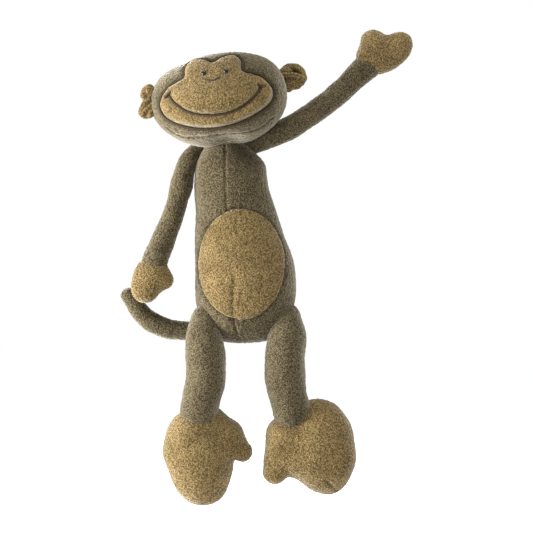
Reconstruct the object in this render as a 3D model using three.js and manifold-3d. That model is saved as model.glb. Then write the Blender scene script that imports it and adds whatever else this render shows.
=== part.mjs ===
// A long-limbed stuffed monkey, upright, with one arm hanging and one arm raised.
// Sizes are millimetres. +X is the viewer's right, +Y is away from the viewer, +Z is up.
// The origin is the middle of the flat seat under the body. Left and right are the viewer's.
import * as THREE from "three";
import { mergeVertices } from "three/addons/utils/BufferGeometryUtils.js";
import Module from "manifold-3d";

const wasm = await Module();
wasm.setup();

// ---- driving sizes -------------------------------------------------------------------------

const PILE = 2.0; // thickness of the fleece with its pile
const GAP = 0.4; // clearance between a skin and what it wraps
const SOCKET_GAP = 0.6; // clearance between a rounded end and the hollow it turns in
const FACETS = 12; // sides round a ball
const BIG = 400; // longer than any piece, for cutting blocks

const TORSO = {
  profile: [
    [0, 0], [15, 0], [31, 7], [43, 18], [49, 33], [50.5, 52], [47.5, 84],
    [41, 118], [36.5, 146], [33, 168], [26, 182], [14, 189.5], [0, 191],
  ],
  depth: 0.76, // front to back, as a share of the width
  spine: [[0, 0], [3.5, 30], [3.5, 55], [-1, 92], [-9, 142], [-11.5, 172], [-15, 191]],
  backFacet: 36.8, // how far back the flat of the back lies
};

const BELLY = { x: 0.5, z: 78, halfWidth: 43.9, halfHeight: 55.4 };
const STITCH = { width: 2.0, rise: 2.6 };
const FLEECE_ON_TOP = 1.8; // thickness of a patch sewn on over another skin

const HEAD = {
  centre: [-20, -10, 243],
  axes: [67, 48, 47.5],
  roll: -5, // degrees: the viewer's right side is the higher one
  yaw: -7, // degrees: the face looks a little to the viewer's left
  pitch: -12, // degrees: the chin is tipped up
  seam: { height: -26, slope: 0.67 }, // the seam plane that parts the crown from the throat
};
const MUZZLE = { centre: [0, -26, -12], axes: [46, 27, 21] };
const FACE = {
  muzzle: { x: 0, z: -7.5, halfWidth: 57, halfHeight: 27 },
  brows: { x: 14.5, z: 20, halfWidth: 16, halfHeight: 18 },
};
const SMILE = { reach: 45, z: -24.8, rise: 25, width: 2.6 };
const NOSE = { reach: 8, z: 9.3, rise: 2.5, width: 1.5 };
const EYE = { x: 11, z: 18.8, axes: [1.9, 1.6, 2.4] };
const EAR = { axes: [10.5, 8, 18], out: 78.2, leftZ: 3, rightZ: 12 };

const NECK = { centre: [-18, -3, 193], radius: 10 };

const ARM = { radius: 11.6, elbowBend: 60 };
const LEFT_ARM = {
  shoulder: [-54.5, 0, 184],
  elbow: [-72.5, -3, 124],
  wrist: [-86, -8, 78],
};
const RIGHT_ARM = {
  shoulder: [21.5, 9, 186],
  elbow: [87, 16, 243],
  wrist: [127.5, 14, 278.5],
};
const HAND = {
  palm: { along: 22, across: -2.5, axes: [23.5, 12, 15] },
  thumb: { from: [9, 4], to: [13.5, 14.5], radius: 9 },
};

const LEG = { radius: 18.8, kneeBend: 50 };
const LEFT_LEG = {
  hip: [-35.5, -24, 8],
  knee: [-34.5, -25, -31],
  ankle: [-41, -22, -66],
  foot: { centre: [-41, -13, -114], axes: [36, 27, 48], tilt: 0 },
  toe: { from: [-30, -18, -96], fromRadius: 22, to: [3, -32, -109], toRadius: 8.7 },
};
const RIGHT_LEG = {
  hip: [44.5, -24, 8],
  knee: [43.5, -25, -31],
  ankle: [50, -22, -66],
  foot: { centre: [80, -13, -104], axes: [35, 27, 47.5], tilt: -9 },
  toe: { from: [62, -20, -99], fromRadius: 26, to: [36.5, -32, -124], toRadius: 15 },
};

const TAIL = {
  radius: 8.7,
  bend: 75,
  points: [[2, 41.5, 17], [-54, 42, 10.5], [-91, 40, 19], [-113, 38, 46]],
};

const BROWN = 0x6f5f48;
const TAN = 0xa58d5f;
const WHITE = 0xe9e6df;
const DARK = 0x2c2119;
const BLACK = 0x0b0b0c;

// ---- building blocks -----------------------------------------------------------------------

const v = (p) => new THREE.Vector3(...p);
const along = (from, to) => v(to).sub(v(from)).normalize();

// A closed manifold solid from a three.js geometry.
function solidOf(geometry) {
  const bare = geometry.clone();
  bare.deleteAttribute("normal");
  bare.deleteAttribute("uv");
  const merged = mergeVertices(bare, 1e-3);
  const corners = merged.index.array;
  const kept = [];
  for (let i = 0; i < corners.length; i += 3) {
    const [a, b, c] = corners.slice(i, i + 3);
    if (a !== b && b !== c && a !== c) kept.push(a, b, c);
  }
  return new wasm.Manifold(
    new wasm.Mesh({
      numProp: 3,
      vertProperties: merged.attributes.position.array,
      triVerts: new Uint32Array(kept),
    }),
  );
}

// A solid turned round: its profile lies in the XY plane and turns about Y, up from the axis.
function lathe(profile, segments) {
  const points = profile.map(([r, y]) => new THREE.Vector2(r, y));
  return new THREE.LatheGeometry(points, segments);
}

function ellipsoid(centre, axes, segments = 14, turn = new THREE.Quaternion()) {
  const geometry = new THREE.SphereGeometry(1, segments, Math.round(segments / 2));
  geometry.rotateX(Math.PI / 2);
  geometry.scale(...axes);
  geometry.applyQuaternion(turn);
  geometry.translate(...centre);
  return solidOf(geometry);
}

function ball(centre, radius, segments = FACETS) {
  return ellipsoid(centre, [radius, radius, radius], segments);
}

// How much of a faceted ball's radius the middles of its facets reach.
const FLATNESS = Math.cos(Math.PI / FACETS) ** 2;

// The hollow that a ball of the radius turns in without touching.
const socket = (centre, radius) => ball(centre, (radius + SOCKET_GAP) / FLATNESS);

// The largest ball that turns freely inside a sleeve of the radius.
const wadInside = (radius) => (radius - PILE) * FLATNESS - SOCKET_GAP / 2;

// Two balls and the cone that wraps them both.
function taper(from, to, fromRadius, toRadius, segments = FACETS, steps = 3) {
  const length = v(to).distanceTo(v(from));
  const lean = Math.asin((fromRadius - toRadius) / length);
  const profile = [[0, -fromRadius]];
  for (let i = 1; i <= steps; i += 1) {
    const angle = -Math.PI / 2 + (i / steps) * (Math.PI / 2 + lean);
    profile.push([fromRadius * Math.cos(angle), fromRadius * Math.sin(angle)]);
  }
  for (let i = 0; i < steps; i += 1) {
    const angle = lean + (i / steps) * (Math.PI / 2 - lean);
    profile.push([toRadius * Math.cos(angle), length + toRadius * Math.sin(angle)]);
  }
  profile.push([0, length + toRadius]);
  const geometry = lathe(profile, segments);
  const turn = new THREE.Quaternion().setFromUnitVectors(v([0, 1, 0]), along(from, to));
  geometry.applyQuaternion(turn);
  geometry.translate(...from);
  return solidOf(geometry);
}

// An upright oval post that runs from the middle of the toy out through its front.
function frontPost(x, z, halfWidth, halfHeight, segments = 20) {
  const geometry = new THREE.CylinderGeometry(1, 1, BIG, segments);
  geometry.scale(halfWidth, 1, halfHeight);
  geometry.translate(x, -BIG / 2, z);
  return solidOf(geometry);
}

// A bar of the given width that follows z = bottom + rise * (x / reach)^2, and runs to the front.
function frontBar({ reach, z, rise, width }, steps = 8) {
  const top = [];
  const bottom = [];
  for (let i = 0; i <= steps; i += 1) {
    const x = -reach + (2 * reach * i) / steps;
    const middle = z + rise * (x / reach) ** 2;
    const slope = (2 * rise * x) / reach ** 2;
    const lift = (width / 2) * Math.hypot(1, slope);
    top.push(new THREE.Vector2(x, middle + lift));
    bottom.unshift(new THREE.Vector2(x, middle - lift));
  }
  const shape = new THREE.Shape([...bottom, ...top]);
  const geometry = new THREE.ExtrudeGeometry(shape, { depth: BIG, bevelEnabled: false });
  geometry.rotateX(Math.PI / 2);
  return solidOf(geometry);
}

function block(low, high) {
  const size = high.map((value, i) => value - low[i]);
  const geometry = new THREE.BoxGeometry(...size);
  geometry.translate(...low.map((value, i) => value + size[i] / 2));
  return solidOf(geometry);
}

const group = new THREE.Group();
group.name = "stuffed_monkey";

function add(name, solid, colour, roughness = 0.95) {
  const made = solid.getMesh();
  const geometry = new THREE.BufferGeometry();
  geometry.setAttribute("position", new THREE.BufferAttribute(made.vertProperties, 3));
  geometry.setIndex(new THREE.BufferAttribute(made.triVerts, 1));
  geometry.computeVertexNormals();
  const material = new THREE.MeshStandardMaterial({ color: colour, roughness });
  const mesh = new THREE.Mesh(geometry, material);
  mesh.name = name;
  group.add(mesh);
}

const cutBy = (solid, cutters) => cutters.reduce((left, cutter) => left.subtract(cutter), solid);

// ---- the sockets that the limbs' rounded ends turn in ---------------------------------------

const shoulders = [LEFT_ARM, RIGHT_ARM].map((arm) => socket(arm.shoulder, ARM.radius));
const hips = [LEFT_LEG, RIGHT_LEG].map((leg) => socket(leg.hip, LEG.radius));
const tailSocket = socket(TAIL.points[0], TAIL.radius);
const neckSocket = socket(NECK.centre, NECK.radius);
const torsoSockets = [...shoulders, ...hips, tailSocket, neckSocket];

// ---- torso ----------------------------------------------------------------------------------

// How far the body leans to the side at a height.
function spineAt(z) {
  const points = TORSO.spine;
  const last = points.length - 1;
  const i = Math.min(Math.max(points.findIndex((p) => p[1] > z), 1), last);
  const [lowX, lowZ] = points[i - 1];
  const [highX, highZ] = points[i];
  const share = Math.min(Math.max((z - lowZ) / (highZ - lowZ), 0), 1);
  return lowX + (highX - lowX) * share;
}

// The torso's outside, drawn in by an amount. A negative amount lets it out.
function torsoForm(inset) {
  const height = TORSO.profile.at(-1)[1];
  const profile = TORSO.profile.map(([r, z]) => [
    r === 0 ? 0 : r - inset,
    z + inset * (1 - (2 * z) / height),
  ]);
  const geometry = lathe(profile, 18);
  geometry.rotateX(Math.PI / 2);
  geometry.scale(1, TORSO.depth, 1);
  const place = geometry.attributes.position;
  for (let i = 0; i < place.count; i += 1) {
    place.setX(i, place.getX(i) + spineAt(place.getZ(i)));
  }
  const back = TORSO.backFacet - inset;
  return solidOf(geometry).subtract(block([-BIG, back, -BIG], [BIG, BIG, BIG]));
}

const torsoSkin = cutBy(torsoForm(0).subtract(torsoForm(PILE)), torsoSockets);
const sideSeam = 2; // the side seams lie this far behind the middle
const half = GAP / 2;
const front = block([-BIG, -BIG, -BIG], [BIG, sideSeam - half, BIG]);
const back = block([-BIG, sideSeam + half, -BIG], [BIG, BIG, BIG]);
const frontMiddle = -6; // where the centre seam parts the front
const frontLeft = block([-BIG, -BIG, -BIG], [frontMiddle - half, sideSeam - half, BIG]);
const frontRight = block([frontMiddle + half, -BIG, -BIG], [BIG, sideSeam - half, BIG]);

add("torso_front_left", torsoSkin.intersect(frontLeft), BROWN);
add("torso_front_right", torsoSkin.intersect(frontRight), BROWN);
add("torso_back", torsoSkin.intersect(back), BROWN);
add("torso_stuffing", cutBy(torsoForm(PILE + GAP), torsoSockets), WHITE);

const bellyPost = (grow) =>
  frontPost(BELLY.x, BELLY.z, BELLY.halfWidth + grow, BELLY.halfHeight + grow);
const bellySkin = torsoForm(-GAP - FLEECE_ON_TOP).subtract(torsoForm(-GAP));
const bellyRing = torsoForm(-GAP - STITCH.rise).subtract(torsoForm(-GAP));
add("belly_patch", bellySkin.intersect(bellyPost(0)), TAN);
add(
  "belly_stitching",
  bellyRing.intersect(bellyPost(GAP + STITCH.width).subtract(bellyPost(GAP))).intersect(front),
  DARK,
);

add("neck_stub", ball(NECK.centre, NECK.radius), BROWN);

// ---- head -----------------------------------------------------------------------------------

const headTurn = new THREE.Matrix4()
  .makeTranslation(...HEAD.centre)
  .multiply(new THREE.Matrix4().makeRotationY(THREE.MathUtils.degToRad(HEAD.roll)))
  .multiply(new THREE.Matrix4().makeRotationZ(THREE.MathUtils.degToRad(HEAD.yaw)))
  .multiply(new THREE.Matrix4().makeRotationX(THREE.MathUtils.degToRad(HEAD.pitch)));
const inHead = (solid) => solid.transform(headTurn.elements);

function headForm(grow) {
  const skull = ellipsoid([0, 0, 0], HEAD.axes.map((axis) => axis + grow), 18);
  const muzzle = ellipsoid(MUZZLE.centre, MUZZLE.axes.map((axis) => axis + grow), 14);
  return skull.add(muzzle);
}

// How far forward the grown head lies at a place on the face.
function faceAt(x, z, grow) {
  const depths = [[[0, 0, 0], HEAD.axes], [MUZZLE.centre, MUZZLE.axes]].map(([c, axes]) => {
    const across = (x - c[0]) / (axes[0] + grow);
    const up = (z - c[2]) / (axes[2] + grow);
    const left = 1 - across ** 2 - up ** 2;
    return left > 0 ? c[1] - (axes[1] + grow) * Math.sqrt(left) : 0;
  });
  return Math.min(...depths);
}

// A slab between two tilted planes, for parting the crown from the throat.
function throatBlock(lift) {
  const geometry = new THREE.BoxGeometry(BIG, BIG, BIG);
  geometry.translate(0, 0, -BIG / 2);
  geometry.rotateX(Math.atan(HEAD.seam.slope));
  geometry.translate(0, 0, HEAD.seam.height + lift);
  return solidOf(geometry);
}

const headSkin = inHead(headForm(0).subtract(headForm(-PILE))).subtract(neckSocket);
add("head_crown", headSkin.subtract(inHead(throatBlock(half))), BROWN);
add("head_throat", headSkin.intersect(inHead(throatBlock(-half))), BROWN);
add("head_stuffing", inHead(headForm(-PILE - GAP)).subtract(neckSocket), WHITE);

function facePost(grow) {
  const { muzzle, brows } = FACE;
  const wide = frontPost(muzzle.x, muzzle.z, muzzle.halfWidth + grow, muzzle.halfHeight + grow);
  const lobes = [-1, 1].map((side) =>
    frontPost(side * brows.x, brows.z, brows.halfWidth + grow, brows.halfHeight + grow, 12),
  );
  return wide.add(lobes[0]).add(lobes[1]);
}

const overHead = (low, high) => headForm(high).subtract(headForm(low));
const patchTop = GAP + FLEECE_ON_TOP;
add("face_patch", inHead(overHead(GAP, patchTop).intersect(facePost(0))), TAN);
const outline = facePost(GAP + STITCH.width).subtract(facePost(GAP));
add("face_outline", inHead(overHead(GAP, GAP + STITCH.rise).intersect(outline)), DARK);
const threadSkin = overHead(patchTop + GAP, patchTop + GAP + 1.2);
add("smile", inHead(threadSkin.intersect(frontBar(SMILE))), DARK);
add("nose", inHead(threadSkin.intersect(frontBar(NOSE, 6))), DARK);

for (const [side, name] of [[-1, "eye_left"], [1, "eye_right"]]) {
  const x = side * EYE.x;
  const y = faceAt(x, EYE.z, patchTop) - GAP - EYE.axes[1];
  add(name, inHead(ellipsoid([x, y, EYE.z], EYE.axes, 10)), BLACK, 0.15);
}

for (const [side, name] of [[-1, "ear_left"], [1, "ear_right"]]) {
  const z = side < 0 ? EAR.leftZ : EAR.rightZ;
  const leaf = ellipsoid([side * EAR.out, 0, z], EAR.axes);
  const hollow = ellipsoid([side * (EAR.out + 3), -8, z], [6, 8, 12], 10);
  add(name, inHead(leaf.subtract(hollow)), TAN);
}

// ---- limbs ----------------------------------------------------------------------------------

// How far a rounded end stands back from a bend, so that two of them clear each other in it.
function setBack(radius, bend) {
  return (radius + SOCKET_GAP / 2) / Math.cos(THREE.MathUtils.degToRad(bend / 2));
}

// A small ball that leaves a sleeve open.
const opening = (centre, radius) => ball(centre, radius, 6);

const moved = (point, direction, distance) =>
  v(point).addScaledVector(direction, distance).toArray();

// One sleeve of a limb with its stuffing. openings are small balls that leave the sleeve open
// where it is sewn; wad is the ball of stuffing round which the sleeve turns, if it has one.
function sleeve(name, from, to, radius, { openings, wadRadius = 0 }) {
  const form = (inset) => taper(from, to, radius - inset, radius - inset);
  add(name, cutBy(form(0).subtract(form(PILE)), openings), BROWN);
  const packed = form(PILE + GAP);
  const hollow = wadRadius ? [socket(from, wadRadius)] : [];
  add(name + "_stuffing", cutBy(packed, hollow), WHITE);
}

function makeArm(side, { shoulder, elbow, wrist }) {
  const upper = along(shoulder, elbow);
  const fore = along(elbow, wrist);
  const back = setBack(ARM.radius, ARM.elbowBend);
  const r = ARM.radius;
  const wadRadius = wadInside(r);
  const inward = v([side === "left" ? 1 : -1, 0, 0]);
  add(`${side}_shoulder_wad`, ball(shoulder, wadRadius), WHITE);
  const upperEnd = moved(elbow, upper, -back);
  sleeve(`${side}_upper_arm`, shoulder, upperEnd, r, {
    openings: [opening(moved(shoulder, inward, r), 6), opening(moved(upperEnd, upper, r), 5)],
    wadRadius,
  });
  const foreStart = moved(elbow, fore, back);
  sleeve(`${side}_forearm`, foreStart, wrist, r, {
    openings: [opening(moved(foreStart, fore, -r), 5), opening(moved(wrist, fore, r), 5)],
  });
  makeHand(side, wrist, fore);
}

// A mitten: a flat oval palm with a stub of a thumb on the side of the body.
function makeHand(side, wrist, direction) {
  const thumbSide = v([-direction.z, 0, direction.x]).normalize();
  const depthSide = new THREE.Vector3().crossVectors(thumbSide, direction);
  const frame = new THREE.Matrix4().makeBasis(direction, depthSide, thumbSide);
  frame.setPosition(...wrist);
  const inHand = (x, z) => v([x, 0, z]).applyMatrix4(frame).toArray();
  const turn = new THREE.Quaternion().setFromRotationMatrix(frame);
  const { palm, thumb } = HAND;
  const form = (inset) => {
    const axes = palm.axes.map((axis) => axis - inset);
    const body = ellipsoid(inHand(palm.along, palm.across), axes, 12, turn);
    const stub = thumb.radius - inset;
    return body.add(taper(inHand(...thumb.from), inHand(...thumb.to), stub, stub, 8, 2));
  };
  const hollow = socket(wrist, ARM.radius);
  add(`${side}_hand`, form(0).subtract(form(PILE)).subtract(hollow), TAN);
  add(`${side}_hand_stuffing`, form(PILE + GAP).subtract(hollow), WHITE);
}

function makeLeg(side, { hip, knee, ankle, foot, toe }) {
  const thigh = along(hip, knee);
  const shin = along(knee, ankle);
  const back = setBack(LEG.radius, LEG.kneeBend);
  const r = LEG.radius;
  const wadRadius = wadInside(r);
  const up = v([side === "left" ? 0.5 : -0.5, 0.4, 0.75]).normalize();
  add(`${side}_hip_wad`, ball(hip, wadRadius), WHITE);
  const thighEnd = moved(knee, thigh, -back);
  sleeve(`${side}_thigh`, hip, thighEnd, r, {
    openings: [opening(moved(hip, up, r), 9), opening(moved(thighEnd, thigh, r), 7)],
    wadRadius,
  });
  const shinStart = moved(knee, shin, back);
  sleeve(`${side}_shin`, shinStart, ankle, r, {
    openings: [opening(moved(shinStart, shin, -r), 7), opening(moved(ankle, shin, r), 7)],
  });
  const turn = new THREE.Quaternion().setFromAxisAngle(
    v([0, 1, 0]),
    THREE.MathUtils.degToRad(foot.tilt),
  );
  const form = (inset) => {
    const axes = foot.axes.map((axis) => axis - inset);
    const body = ellipsoid(foot.centre, axes, 14, turn);
    const lobe = taper(toe.from, toe.to, toe.fromRadius - inset, toe.toRadius - inset, 10);
    return body.add(lobe);
  };
  const hollow = socket(ankle, r);
  add(`${side}_foot`, form(0).subtract(form(PILE)).subtract(hollow), TAN);
  add(`${side}_foot_stuffing`, form(PILE + GAP).subtract(hollow), WHITE);
}

makeArm("left", LEFT_ARM);
makeArm("right", RIGHT_ARM);
makeLeg("left", LEFT_LEG);
makeLeg("right", RIGHT_LEG);

// ---- tail -----------------------------------------------------------------------------------

const [tailRoot, tailFirst, tailSecond, tailEnd] = TAIL.points;
const tailWad = wadInside(TAIL.radius);
add("tail_wad", ball(tailRoot, tailWad), WHITE);
const tailBack = setBack(TAIL.radius, TAIL.bend);
const tailParts = [
  { name: "tail_base", from: tailRoot, to: tailFirst, start: 0, end: tailBack },
  { name: "tail_middle", from: tailFirst, to: tailSecond, start: tailBack, end: tailBack },
  { name: "tail_tip", from: tailSecond, to: tailEnd, start: tailBack, end: 0 },
];
for (const { name, from, to, start, end } of tailParts) {
  const direction = along(from, to);
  const low = moved(from, direction, start);
  const high = moved(to, direction, -end);
  const towardBody = start ? direction.clone().negate() : v([0, -1, 0]);
  const openings = [opening(moved(low, towardBody, TAIL.radius), 4)];
  sleeve(name, low, high, TAIL.radius, { openings, wadRadius: start ? 0 : tailWad });
}

export default group;
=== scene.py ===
"""A long-limbed fleece monkey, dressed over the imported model.

Lengths are millimetres, and turn into metres where a mesh or the frame takes them.
Left and right are the viewer's. +Y is away from the viewer and +Z is up.
"""

import logging
import math
from collections.abc import Callable, Sequence
from dataclasses import dataclass, field
from enum import Enum

import bmesh
import bpy
import numpy as np
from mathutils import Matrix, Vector, noise


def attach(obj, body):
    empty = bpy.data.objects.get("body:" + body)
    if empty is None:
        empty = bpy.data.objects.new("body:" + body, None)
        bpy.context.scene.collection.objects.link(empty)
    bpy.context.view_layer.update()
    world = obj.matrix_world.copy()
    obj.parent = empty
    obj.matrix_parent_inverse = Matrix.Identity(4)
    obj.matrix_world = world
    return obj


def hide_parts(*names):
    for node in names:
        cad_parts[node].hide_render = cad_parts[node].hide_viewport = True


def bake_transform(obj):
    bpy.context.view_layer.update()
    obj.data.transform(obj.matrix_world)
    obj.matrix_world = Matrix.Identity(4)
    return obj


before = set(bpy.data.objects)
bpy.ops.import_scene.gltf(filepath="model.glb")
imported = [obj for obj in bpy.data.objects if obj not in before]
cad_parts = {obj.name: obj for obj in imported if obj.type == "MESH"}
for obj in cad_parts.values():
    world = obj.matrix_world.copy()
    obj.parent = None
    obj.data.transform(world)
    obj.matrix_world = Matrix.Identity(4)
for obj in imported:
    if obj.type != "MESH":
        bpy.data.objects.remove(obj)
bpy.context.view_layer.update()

LOG = logging.getLogger("monkey")
MM = 0.001

Point = tuple[float, float, float]
Points = np.ndarray
Colour = tuple[float, float, float]


# ---- finishes --------------------------------------------------------------------------------


class Nodes:
    """Short ways of adding and joining shader nodes in one material."""

    def __init__(self, material: bpy.types.Material) -> None:
        """Args: material: the material whose node tree is written."""
        material.use_nodes = True
        self.tree = material.node_tree
        self.shader = self.tree.nodes["Principled BSDF"]

    def add(self, kind: str, **values: object) -> bpy.types.Node:
        """A node with its properties or inputs set.

        Args:
            kind: the node's type name.
            values: properties, or input names with spaces as underscores.
        Returns: the node.
        """
        node = self.tree.nodes.new(kind)
        for key, value in values.items():
            if hasattr(node, key):
                setattr(node, key, value)
            else:
                node.inputs[key.replace("_", " ")].default_value = value
        return node

    def join(self, start: bpy.types.NodeSocket, end: bpy.types.NodeSocket) -> None:
        """Joins an output to an input."""
        self.tree.links.new(start, end)

    def ramp(self, stops: Sequence[tuple[float, Colour]]) -> bpy.types.Node:
        """A colour ramp.

        Args: stops: places from 0 to 1 with their colours.
        Returns: the ramp node.
        """
        node = self.tree.nodes.new("ShaderNodeValToRGB")
        elements = node.color_ramp.elements
        while len(elements) < len(stops):
            elements.new(0.5)
        for element, (place, colour) in zip(elements, stops):
            element.position = place
            element.color = (*colour, 1.0)
        return node

    def noise(
        self, place: bpy.types.NodeSocket, scale: float, detail: float
    ) -> bpy.types.NodeSocket:
        """A soft random pattern.

        Args:
            place: the coordinates that it is drawn on.
            scale: its spots per metre.
            detail: how many finer layers it has.
        Returns: the pattern, round a half.
        """
        node = self.add("ShaderNodeTexNoise", Scale=scale, Detail=detail)
        self.join(place, node.inputs["Vector"])
        return node.outputs["Fac"]

    def tones(
        self, share: bpy.types.NodeSocket, stops: Sequence[tuple[float, Colour]]
    ) -> bpy.types.NodeSocket:
        """Colours chosen by a pattern.

        Args:
            share: the pattern.
            stops: its values with their colours.
        Returns: the colour.
        """
        node = self.ramp(stops)
        self.join(share, node.inputs["Fac"])
        return node.outputs["Color"]

    def roughen(self, height: bpy.types.NodeSocket, strength: float, distance: float) -> None:
        """Lets a pattern roughen the surface.

        Args:
            height: the pattern.
            strength: how strongly it shows.
            distance: how deep it is, in metres.
        """
        node = self.add("ShaderNodeBump", Strength=strength, Distance=distance)
        self.join(height, node.inputs["Height"])
        self.join(node.outputs["Normal"], self.shader.inputs["Normal"])

    def shade(self, **values: float | tuple[float, ...]) -> None:
        """Sets the shader's own inputs, named with underscores for spaces."""
        for key, value in values.items():
            self.shader.inputs[key.replace("_", " ")].default_value = value


@dataclass(frozen=True)
class Finish:
    """What a surface is made of. Each kind writes its own shader nodes."""

    name: str

    def material(self) -> bpy.types.Material:
        """The material, made once and then shared."""
        made = bpy.data.materials.get(self.name)
        if made is None:
            made = bpy.data.materials.new(self.name)
            self.dress(Nodes(made))
        return made

    def dress(self, nodes: Nodes) -> None:
        """Args: nodes: the material's nodes, which this writes."""
        raise NotImplementedError


@dataclass(frozen=True)
class Fleece(Finish):
    """Short curly fleece: pale tips over dark roots, with a pale bloom at its edges. The curls'
    colour follows their height: painted shade darkens the hollows between them and a painted
    highlight pales their tops.
    """

    # the roots' tone, which also serves as painted shade in the hollows between the curls
    root_and_hollow_shade: Colour
    body: Colour
    # the tips' tone, which also serves as a painted highlight on the tops of the curls
    tip: Colour
    grain: float = 760.0  # curls per metre
    bloom: float = 0.42
    bloom_tint: Colour = (0.95, 0.88, 0.72)
    drift_grain: float = 60.0  # paler and darker patches per metre
    shade_lift: float = 0.18  # brings the curls' height up to the range of the tones

    def dress(self, nodes: Nodes) -> None:
        """Args: nodes: the material's nodes, which this writes."""
        place = nodes.add("ShaderNodeTexCoord").outputs["Object"]
        fibres = nodes.noise(place, self.grain * 1.6, 3.0)
        loops = nodes.add("ShaderNodeTexVoronoi", Scale=self.grain)
        nodes.join(place, loops.inputs["Vector"])
        drift = nodes.noise(place, self.drift_grain, 3.0)
        height = nodes.add("ShaderNodeMath", operation="SUBTRACT")
        nodes.join(fibres, height.inputs[0])
        nodes.join(loops.outputs["Distance"], height.inputs[1])
        lift = nodes.add("ShaderNodeMath", operation="ADD")
        lift.inputs[1].default_value = self.shade_lift
        nodes.join(height.outputs[0], lift.inputs[0])
        # low places between the curls take the dark tone as painted shade, and high tops take the
        # pale tone as a painted highlight
        curls = nodes.tones(
            lift.outputs[0], ((0.0, self.root_and_hollow_shade), (0.2, self.body), (0.42, self.tip))
        )
        patches = nodes.tones(drift, ((0.3, (0.8, 0.79, 0.77)), (0.7, (1.16, 1.15, 1.14))))
        tint = nodes.add("ShaderNodeMix", data_type="RGBA", blend_type="MULTIPLY")
        tint.inputs[0].default_value = 1.0
        nodes.join(curls, tint.inputs[6])
        nodes.join(patches, tint.inputs[7])
        nodes.join(tint.outputs[2], nodes.shader.inputs["Base Color"])
        nodes.roughen(height.outputs[0], 0.7, 0.0009)
        nodes.shade(
            Roughness=0.95,
            Specular_IOR_Level=0.1,
            Sheen_Weight=self.bloom,
            Sheen_Roughness=0.34,
            Sheen_Tint=(*self.bloom_tint, 1.0),
        )


@dataclass(frozen=True)
class Floss(Finish):
    """Twisted embroidery thread."""

    low: Colour
    high: Colour

    def dress(self, nodes: Nodes) -> None:
        """Args: nodes: the material's nodes, which this writes."""
        place = nodes.add("ShaderNodeTexCoord").outputs["Object"]
        fibres = nodes.noise(place, 900.0, 2.0)
        tone = nodes.tones(fibres, ((0.35, self.low), (0.65, self.high)))
        nodes.join(tone, nodes.shader.inputs["Base Color"])
        nodes.roughen(fibres, 0.5, 0.0004)
        nodes.shade(Roughness=0.9, Specular_IOR_Level=0.15)


@dataclass(frozen=True)
class Bead(Finish):
    """Glossy moulded black plastic with faint cloudiness."""

    low: Colour
    high: Colour

    def dress(self, nodes: Nodes) -> None:
        """Args: nodes: the material's nodes, which this writes."""
        place = nodes.add("ShaderNodeTexCoord").outputs["Object"]
        tone = nodes.tones(nodes.noise(place, 500.0, 2.0), ((0.3, self.low), (0.7, self.high)))
        nodes.join(tone, nodes.shader.inputs["Base Color"])
        nodes.shade(Roughness=0.15, Specular_IOR_Level=0.25)


@dataclass(frozen=True)
class Backdrop(Finish):
    """Seamless white paper that is lit until it glows."""

    paper: Colour
    glow: float

    def dress(self, nodes: Nodes) -> None:
        """Args: nodes: the material's nodes, which this writes."""
        nodes.shade(
            Base_Color=(*self.paper, 1.0),
            Roughness=0.9,
            Emission_Color=(1.0, 1.0, 1.0, 1.0),
            Emission_Strength=self.glow,
        )


FLOOR = Backdrop("white_paper", (0.9, 0.9, 0.9), 0.45)
BROWN = Fleece(
    "curly_brown", (0.024, 0.0186, 0.0085), (0.054, 0.0425, 0.0225), (0.096, 0.078, 0.0445)
)
TAN = Fleece("curly_tan", (0.05, 0.033, 0.0115), (0.103, 0.07, 0.0265), (0.165, 0.12, 0.054))
FIBREFILL = Fleece(
    "white_fibrefill", (0.6, 0.59, 0.56), (0.78, 0.77, 0.74), (0.9, 0.89, 0.87), 220.0, 0.2
)
THREAD = Floss("brown_floss", (0.013, 0.009, 0.004), (0.034, 0.024, 0.012))
NOSE_THREAD = Floss("grey_floss", (0.012, 0.011, 0.011), (0.04, 0.037, 0.035))
EYE_BEAD = Bead("glossy_black", (0.004, 0.004, 0.0045), (0.012, 0.012, 0.013))


class Slot(Enum):
    """The record's material slots."""

    BROWN = "brown_fleece"
    TAN = "tan_fleece"
    THREAD = "thread"
    STUFFING = "stuffing"
    BEAD = "bead"


# ---- solids ----------------------------------------------------------------------------------


class Solid:
    """A closed form that tells how far outside it a point lies."""

    def distance(self, points: Points) -> Points:
        """Args: points: rows of places. Returns: roughly how far each lies outside."""
        raise NotImplementedError


@dataclass(frozen=True)
class Oval(Solid):
    """An ellipsoid, boxier where its power is over 2."""

    centre: Point
    axes: Point
    turn: np.ndarray | None = None  # columns are its own axes
    power: float = 2.0

    def distance(self, points: Points) -> Points:
        """Args: points: rows of places. Returns: roughly how far each lies outside."""
        local = points - np.array(self.centre)
        if self.turn is not None:
            local = local @ self.turn
        share = np.abs(local / np.array(self.axes))
        size = (share**self.power).sum(axis=1) ** (1 / self.power)
        reach = np.linalg.norm(local, axis=1)
        return reach * (1 - 1 / np.maximum(size, 1e-6))


@dataclass(frozen=True)
class Taper(Solid):
    """Two balls and the cone that wraps them, flattened front to back by a share."""

    start: Point
    end: Point
    start_radius: float
    end_radius: float
    depth: float = 1.0

    def distance(self, points: Points) -> Points:
        """Args: points: rows of places. Returns: roughly how far each lies outside."""
        squeeze = np.array((1.0, 1 / self.depth, 1.0))
        start = np.array(self.start) * squeeze
        axis = np.array(self.end) * squeeze - start
        local = points * squeeze - start
        share = np.clip(local @ axis / (axis @ axis), 0, 1)
        radius = self.start_radius + (self.end_radius - self.start_radius) * share
        return np.linalg.norm(local - share[:, None] * axis, axis=1) - radius


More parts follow.
